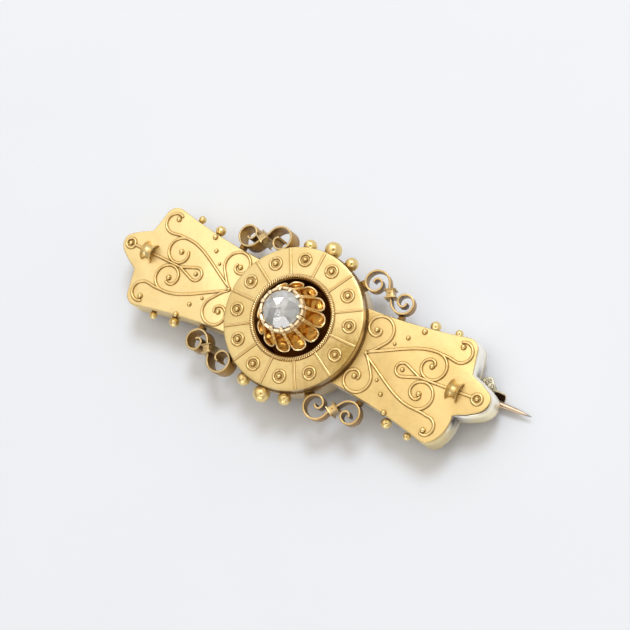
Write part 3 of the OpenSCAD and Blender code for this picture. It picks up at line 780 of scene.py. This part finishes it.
def disc():
    shape = Shape()
    bottom, sides = DISC_TOP - 0.45, 240
    edge_r, edge_z = DISC_R - EDGE_R, disc_z(DISC_R - EDGE_R) - EDGE_R
    profile = [(WELL_R, bottom), (edge_r, bottom)]
    for k in range(9):
        a = math.radians(-60 + 146 * k / 8)
        profile.append((edge_r + EDGE_R * math.cos(a), edge_z + EDGE_R * math.sin(a)))
    profile += [(r, disc_z(r)) for r in (7.68, 7.6, 7.4, 7.0, 6.4, 5.8, 5.2, DOME_FROM)] + [(WELL_R, DISC_TOP)]
    # the last face of the profile, the wall of the hole, is painted dark as shade
    lathe(shape, profile, sides, kind=(["body"] * (len(profile) - 1) + ["dark"]) * sides)
    twisted_ring(shape, ROPE_AT, DISC_TOP + 0.1, 0.1, 0.125, 56, kind="rope")
    # a dark core between the strands and a dark line under the rope: painted shade in the gaps, partly solder
    core = arc((0, 0), ROPE_AT, 0, 360, sides)[:-1]
    tube(shape, lifted(core, DISC_TOP + 0.08), 0.09, 8, closed=True, kind="seam")
    seam_and_shade_line(shape, core, DISC_TOP, 0.26, closed=True)
    one = spoke()
    for i, gap_at in enumerate(GAPS_AT):
        shape.join(one.moved(turn_matrix(STEP * i)))
        shape.join(circlet(gap_at).moved(turn_matrix(STEP * i + STEP / 2)))
    return shape

build("disc_plate", disc(), dict(body=DISC, wire=WIRE, rope=ROPE, seam=SEAM_AND_SHADE, grain=BALL, dark=RECESS_SHADE), "disc")

# Calyx, collet and stone

# A scoop from the collet to its tip: r and z (over the disc) of its middle and of its ridge, and half its width
SCOOP_ROWS = [(2.2, 3.0, 2.42, 3.0, 0.56), (2.24, 2.6, 2.56, 2.62, 0.6), (2.32, 2.05, 2.72, 2.15, 0.64),
              (2.44, 1.5, 2.88, 1.68, 0.685), (2.62, 0.98, 3.03, 1.24, 0.72), (2.88, 0.55, 3.2, 0.88, 0.74),
              (3.2, 0.27, 3.4, 0.62, 0.72), (3.5, 0.16, 3.6, 0.47, 0.62), (3.68, 0.19, 3.71, 0.38, 0.4),
              (3.76, 0.26, 3.76, 0.31, 0.08)]
SCOOP_SHEET, DENT = 0.09, 0.016

def scoop(rng):
    """One flute as a dented spoon of sheet along +X, with a thick rounded lip."""
    shape = Shape()
    n, m = 44, 21
    floor_r, floor_z, edge_r, edge_z, half = along(SCOOP_ROWS, n).T
    t = np.linspace(-1, 1, m)
    lift = np.abs(t) ** 2.1
    r = floor_r[:, None] + (edge_r - floor_r)[:, None] * lift
    z = floor_z[:, None] + (edge_z - floor_z)[:, None] * lift + DISC_TOP
    side = half[:, None] * np.sin(t * math.pi / 2)[None, :]
    front = np.stack([r, side, z], -1)
    normal = unit(np.cross(np.gradient(front, axis=0), np.gradient(front, axis=1)))
    normal *= np.sign(normal[n // 2, m // 2, 0])
    down = np.linspace(0, 4.2, n)[:, None]
    # four waves, each with a frequency down and across the scoop, and a phase
    dent = sum(np.sin(f * down + g * side + h) for f, g, h in rng.uniform((3, -6, 0), (8, 6, 6.3), (4, 3)))
    front += normal * (DENT * dent * (1 - t ** 4)[None, :])[..., None]
    back = front - normal * SCOOP_SHEET
    sheet(shape, front.reshape(-1, 3), back.reshape(-1, 3), n, m)
    line = np.concatenate([front[:, 0], front[-1, 1:-1], front[::-1, -1]])
    tube(shape, smoothed(resampled(line, 0.1), 3), 0.11, 8, kind="lip")
    return shape

def calyx():
    shape = Shape()
    rng = np.random.default_rng(3)
    for i in range(TURNS):
        shape.join(scoop(rng).moved(turn_matrix(STEP * i + STEP / 2)))
    # core behind the scoops, painted dark as shade: r, and z over the disc
    core = [(0.05, 3.1), (0.05, -4.2), (1.7, -4.2), (1.78, -1.6), (2.5, -0.25), (2.62, 0.25), (2.42, 0.9),
            (2.22, 1.8), (2.12, 2.6), (2.1, 3.0), (2.05, 3.1)]
    lathe(shape, [(r, DISC_TOP + z) for r, z in core], 96, kind="dark")
    return shape

build("calyx_cup", calyx(), dict(body=SCOOP, lip=LIP, dark=RECESS_SHADE), "calyx", sharp=60)

SLIT_AT, SLIT_W, CLAW_HALF = 6.2, 1.1, 6.5      # degrees from the middle of a claw

def collet():
    """Band with a slit on both sides of each claw, and the foil that the stone lies on."""
    shape = Shape()
    n = 480
    a = 2 * math.pi * np.arange(n) / n
    from_claw = (np.degrees(a) + STEP / 2) % STEP - STEP / 2
    slit = np.exp(-((np.abs(from_claw) - SLIT_AT) / SLIT_W) ** 2)
    claw_foot = np.clip((CLAW_HALF - np.abs(from_claw)) / 1.5, 0, 1)
    seat, low, high = STONE_Z - GAP, STONE_Z - 0.66, STONE_Z + 0.26
    # r, z, more r and z at a claw, less r in a slit
    profile = [(2.0, low, 0, 0, 0), (2.36, low, 0, 0, 0), (2.43, low + 0.05, 0.01, 0, 0),
               (2.41, low + 0.25, 0.02, 0, 0.02), (2.42, high - 0.3, 0.03, 0, 0.12),
               (2.43, high - 0.06, 0.03, 0.08, 0.16), (2.39, high, 0.03, 0.1, 0.16),
               (2.24, high, 0, 0.08, 0.06), (2.15, high - 0.05, 0, 0.02, 0), (2.12, seat, 0, 0, 0),
               (1.8, seat, 0, 0, 0), (1.8, STONE_Z - 0.2, 0, 0, 0), (2.0, STONE_Z - 0.3, 0, 0, 0)]
    pts = []
    for r, z, more_r, more_z, less in profile:
        rr = r + more_r * claw_foot - less * slit
        pts.append(np.c_[rr * np.cos(a), rr * np.sin(a), z + more_z * claw_foot])
    faces = grid_faces(len(profile), n, wrap_rows=True, wrap_cols=True)
    # a slit is coloured dark from the fourth to the seventh row
    kinds = ["seam" if slit[f[0] % n] > 0.6 and 3 <= f[0] // n <= 6 else "body" for f in faces]
    shape.add(np.concatenate(pts), faces, kinds)
    claw = Shape()
    rise = [(2.37, -0.02), (2.38, 0.22), (2.33, 0.36), (2.2, 0.42), (2.09, 0.42), (2.0, 0.44)]
    path = along([(r, STONE_Z + z) for r, z in rise], 15, 1)
    section = [[(-w, -0.06), (w, -0.06), (w + 0.01, 0.0), (w * 0.85, 0.06), (0, 0.075), (-w * 0.85, 0.06),
                (-w - 0.01, 0.0)] for w in np.linspace(0.17, 0.11, len(path))]
    ribbon(claw, path, section)
    for i in range(TURNS):
        shape.join(claw.moved(turn_matrix(STEP * i)))
    lathe(shape, [(0.02, seat - 0.03), (0.02, seat), (1.8, seat), (1.8, seat - 0.03)], 64, kind="foil")
    return shape

build("collet_band", collet(), dict(body=BAND, foil=FOIL, seam=SEAM_AND_SHADE), "collet")

# Scrolls

LEFT_GOLD, RIGHT_GOLD = dict(body=STRIP, rim=RIM), dict(body=DULL_STRIP, rim=DULL_RIM)
# Each scroll: mirrored X and Y, lean, materials, strip height, then for its drum end and its wing end the last
# angle, the tightening, and how far the curl's middle drifts
SCROLLS = {
    "upper_right": ((1, 1), 3.0, RIGHT_GOLD, 1.35, (540, 1.15, (0, 0)), (375, 1.05, (0, 0))),
    "lower_right": ((1, -1), 3.0, RIGHT_GOLD, 1.5, (490, 1.4, (0.06, -0.35)), (330, 1.3, (-0.06, 0.45))),
    "upper_left": ((-1, 1), 7.0, LEFT_GOLD, 2.15, (410, 2.0, (0, 0)), (290, 1.7, (0, 0))),
    "lower_left": ((-1, -1), 7.0, LEFT_GOLD, 1.9, (420, 1.8, (0, 0)), (300, 1.6, (0, 0)))}
STRIP_HALF, STRIP_SOFT = 0.11, 0.05     # half a strip's thickness, and the rounding of its edges
COLLAR_AT, COLLAR_TURN = (7.99, 6.76), -60
# Collar from end to end: x, half width, and rise over the strip
COLLAR_HALF = [(0.22, 0.39, 0.25), (0.35, 0.43, 0.25), (0.36, 0.59, 0.35), (0.4, 0.62, 0.38),
               (0.47, 0.62, 0.38), (0.5, 0.58, 0.34)]
COLLAR_ROWS = [(-x, w, rise) for x, w, rise in COLLAR_HALF[::-1]] + [(0.0, 0.36, 0.24)] + COLLAR_HALF
DRUM_TAB_TURN = 53.5

def volute(c, r0, r1, a0, end):
    """Spiral round c that tightens from r0 to r1."""
    a1, p, drift = end
    t = np.linspace(0, 1, 111)[:, None]
    return spiral(c, r0, r1, a0, a1, p, 110) + t ** 2 * pt(*drift)

def strip_path(drum_end, wing_end):
    """Middle line of an S from the curl by the drum to the one by the wing."""
    first = volute((6.05, 7.2), 1.5, 0.25, 18, drum_end)[::-1]
    middle = bezier((7.55, 7.45), (7.7, 7.0), (8.25, 6.35), (8.5, 5.9), 8)
    last = volute((9.75, 6.5), 1.37, 0.27, -146, wing_end)
    return smoothed(resampled(np.concatenate([first, middle, last]), 0.1), 3)

def strip(path, height):
    """Strip on edge along a path, with rounded edges."""
    shape = Shape()
    half, soft = STRIP_HALF, STRIP_SOFT
    section = [(-half + soft * 0.6, 0), (half - soft * 0.6, 0), (half, soft), (half, height - soft)]
    for k in range(1, 5):
        b = math.pi / 2 * k / 4
        section.append((half - soft + soft * math.cos(b), height - soft + soft * math.sin(b)))
    section += [(-x, z) for x, z in section[::-1][:-2]]
    w, z = np.array(section).T
    side = across(path)
    pts = np.stack([path[:, None, 0] + side[:, None, 0] * w, path[:, None, 1] + side[:, None, 1] * w,
                    np.tile(z, (len(path), 1))], -1)
    n, m = len(path), len(section)
    faces = grid_faces(n, m, wrap_cols=True)
    rim = z > height - soft - 0.01
    kinds = ["rim" if rim[f[0] % m] and rim[f[1] % m] else "body" for f in faces]
    shape.add(pts.reshape(-1, 3), faces + end_faces(n, m), kinds + ["body"] * 2)
    return shape

def collar(height):
    """Waisted collar over the strip, with a pitted grain on top."""
    shape = Shape()
    pts = []
    for x, w, rise in COLLAR_ROWS:
        h = height + rise
        right = [(w - 0.04, -0.1), (w, -0.04), (w, h - 0.08), (w - 0.03, h - 0.02), (w - 0.1, h)]
        pts += [(x, -w + 0.04, -0.1)] + [(x, y, z) for y, z in right] + [(x, -y, z) for y, z in right[:0:-1]]
    n, m = len(COLLAR_ROWS), 10
    shape.add(pts, grid_faces(n, m, wrap_cols=True) + end_faces(n, m), "rim")
    ball(shape, (0, 0, height + 0.2), 0.13, 14, 10, pit=0.6, pit_width=0.5, kind="rim")
    return shape.moved(move_matrix(*COLLAR_AT, 0) @ turn_matrix(COLLAR_TURN))

def tab(x0, y0, x1, y1, z0, z1):
    """Small block of solder between a scroll and what carries it."""
    shape = Shape()
    slab(shape, [(x0, y0), (x1, y0), (x1, y1), (x0, y1)], round_levels(z0, z1, 0.1))
    return shape

def scroll(lean, height, drum_end, wing_end):
    shape = strip(strip_path(drum_end, wing_end), height)
    shape.join(collar(height))
    foot = move_matrix(COLLAR_AT[0], 0, WING_TOP - 0.3)
    shape = shape.moved(foot @ turn_matrix(lean, "Y") @ move_matrix(-COLLAR_AT[0], 0, -height))
    y0 = side_y(10.4) + GAP
    shape.join(tab(9.75, y0, 10.3, y0 + 0.5, WING_TOP - 1.9, WING_TOP - 0.9))
    x0 = DRUM_R + GAP
    by_drum = tab(x0, -0.45, x0 + 0.5, 0.45, WING_TOP - 1.6, WING_TOP - 0.4)
    shape.join(by_drum.moved(turn_matrix(DRUM_TAB_TURN)))
    return shape

for place, (mirror, lean, golds, *form) in SCROLLS.items():
    shape = scroll(lean, *form).moved(mirror_matrix(*mirror))
    build(place + "_strip", shape, golds, place + "_scroll")

# Catch: an open hook of thin sheet and the lump of solder on its foot

CATCH_Y, PIN_Z = 1.3, 0.7548
HOOK_X0, HOOK_X1, HOOK_DEEP, HOOK_T, LIP_Y = 21.5, 22.97, 0.755, 0.14, 0.5
HOOK_WIDE, HOOK_FLARE = 0.92, 0.28
HOOK_CUT_X = 22.0       # from here on the hook's lip is cut to a rounded corner
SOLDER_Z = (BACK_Z - 0.2, BACK_Z - 0.01)
PADS = [(20.95, CATCH_Y + 1.4, 0.75), (21.7, CATCH_Y + 1.05, 0.4)]   # middle and radius of each lump

def hook():
    """Sheet bent from the back plate down and round under the stem, with painted shade on its inside."""
    shape = Shape()
    n, m = 34, 34
    inner, outer = [], []
    for k in range(n):
        x = HOOK_X0 + (HOOK_X1 - HOOK_X0) * math.sin(math.pi / 2 * k / (n - 1))
        wide = HOOK_WIDE + HOOK_FLARE * (x - HOOK_X0) / (HOOK_X1 - HOOK_X0)
        lip = -math.acos(LIP_Y / wide)
        bend = wide * -lip * 0.9
        whole = bend + BACK_Z - PIN_Z
        cut = min(1.0, max(0.0, x - HOOK_CUT_X) / (HOOK_X1 + 0.01 - HOOK_CUT_X))
        for s in np.linspace(0, whole * max((1 - cut ** 2) ** 0.5, 0.03), m):
            a = min(lip - lip * s / bend, 0.0)
            y, z = CATCH_Y + wide * math.cos(a), PIN_Z + HOOK_DEEP * math.sin(a) + max(s - bend, 0.0)
            dy, dz = unit(np.array((HOOK_DEEP * math.cos(a), wide * math.sin(a)))) * HOOK_T / 2
            inner.append((x, y - dy, z - dz))
            outer.append((x, y + dy, z + dz))
    sheet(shape, inner, outer, n, m, "hook_inner_shade")
    shape.join(solder())
    return shape

def solder():
    """Lumpy solder on the hook's foot."""
    shape = Shape()
    rng = np.random.default_rng(7)
    for x, y, r in PADS:
        loop = arc((x, y), r, 0, 360, 60)[:-1]
        a = np.radians(np.arange(60) * 6)
        loop += outward(loop) * (0.04 * np.sin(5 * a + 1) + 0.03 * np.sin(11 * a))[:, None]
        slab(shape, loop, round_levels(*SOLDER_Z, 0.07))
        for _ in range(int(40 * r)):
            t, u = rng.uniform(0, 2 * math.pi), math.sqrt(rng.uniform(0, 1)) * r * 0.85
            c = (x + u * math.cos(t), y + u * math.sin(t), BACK_Z - 0.05)
            ball(shape, c, rng.uniform(0.06, 0.17), 9, 6)
    foot = [(20.2, 0.3), (21.9, 0.3), (21.9, CATCH_Y + 1.0), (20.2, CATCH_Y + 1.3)]
    slab(shape, foot, round_levels(*SOLDER_Z, 0.06))
    shape.kinds = ["solder"] * len(shape.kinds)
    return shape

build("catch_hook", hook(), dict(body=PLATE, hook_inner_shade=HOOK_SHADE, solder=SOLDER), "catch")

# Solids that stay, with their materials

KEPT = {"back_plate": PLATE, "diamond": STONE, "hinge": PLATE, "hinge_rivet": PIN, "pin": PIN}
for node, material in KEPT.items():
    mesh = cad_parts[node].data
    mesh.materials.clear()
    mesh.materials.append(material)

# Floor, light and camera

def floor():
    """Pale paper, a little uneven in tone."""
    mesh = bpy.data.meshes.new("floor")
    s = 1.5     # half its side
    mesh.from_pydata([(-s, -s, 0), (s, -s, 0), (s, s, 0), (-s, s, 0)], [], [(0, 1, 2, 3)])
    obj = new_object("floor", mesh)
    n = Nodes("floor_paper")
    n.link(n.mix(n.remap(n.noise(60), 0.3, 0.7, 0.0, 1.0), (0.757, 0.795, 0.868), (0.767, 0.804, 0.876)),
           n.shader.inputs["Base Color"])
    n.shader.inputs["Roughness"].default_value = 0.85
    n.shader.inputs["Specular IOR Level"].default_value = 0.1
    mesh.materials.append(n.material)

floor()

# Each light: place, size (two for a rectangle), power, colour, target, and whether it also lights matt surfaces
LIGHTS = {
    "key": ((0.0, 0.41, 0.645), (0.26,), 2.23, (0.9, 0.96, 1.04), (0, 0, 0), True),
    "card": ((0.105, -0.515, 0.222), (0.42, 0.2), 0.88, (1.0, 1.0, 1.0), (0, 0, 0.01), False),
    "window": ((-0.525, 0.45, 0.31), (0.14,), 0.3, (0.95, 0.98, 1.0), (0, 0, 0.01), False)}
# The surroundings: an even glow, its colour, and wide glows: direction, cosines from and to, and strength
EVEN_GLOW, GLOW_COLOR = 0.32, (1.07, 1.0, 0.89)
GLOWS = [((0.35, 0.7, 0.62), -0.4, 0.9, 0.4), ((-0.36, 0.1, 0.93), 0.6, 0.97, 0.66)]

def area_light(name, at, size, power, color, target, on_matt):
    light = bpy.data.lights.new(name, "AREA")
    light.shape = "DISK" if len(size) == 1 else "RECTANGLE"
    light.size = size[0]
    light.size_y = size[-1]
    light.energy = power
    light.color = color
    obj = new_object(name, light)
    obj.visible_diffuse = on_matt
    obj.location = at
    obj.rotation_euler = (Vector(target) - Vector(at)).to_track_quat("-Z", "Y").to_euler()

for name, values in LIGHTS.items():
    area_light(name, *values)

def studio(base, color, glows):
    """Soft surroundings of an even glow and some wide ones."""
    world = bpy.data.worlds.new("studio")
    bpy.context.scene.world = world
    world.use_nodes = True
    nodes, links = world.node_tree.nodes, world.node_tree.links
    back = nodes["Background"]
    back.inputs["Color"].default_value = (*color, 1)
    coord = nodes.new("ShaderNodeTexCoord")
    total = None
    for toward, start, full, amount in glows:
        dot = nodes.new("ShaderNodeVectorMath")
        dot.operation = "DOT_PRODUCT"
        dot.inputs[1].default_value = Vector(toward).normalized()
        links.new(coord.outputs["Generated"], dot.inputs[0])
        glow = map_range(world.node_tree, dot.outputs["Value"], start, full, 0.0, amount, soft=True)
        add = nodes.new("ShaderNodeMath")
        links.new(glow, add.inputs[0])
        if total is None:
            add.inputs[1].default_value = base
        else:
            links.new(total, add.inputs[1])
        total = add.outputs["Value"]
    links.new(total, back.inputs["Strength"])

studio(EVEN_GLOW, GLOW_COLOR, GLOWS)
bpy.context.scene.view_settings.view_transform = "Standard"

CAMERA_AT = (68.689, -14.423, 173.502)          # millimetres, in the part's frame
CAMERA_TURN = (14.64636, 17.56026, 27.95709)
CAMERA_ANGLE = 20.65234                         # width of the view

lens = bpy.data.cameras.new("camera")
lens.sensor_fit = "HORIZONTAL"
lens.angle = math.radians(CAMERA_ANGLE)
lens.clip_start = 0.005
lens.clip_end = 20
camera = new_object("camera", lens)
camera.location = Vector(CAMERA_AT) * MM
camera.rotation_euler = [math.radians(v) for v in CAMERA_TURN]
bpy.context.scene.camera = camera
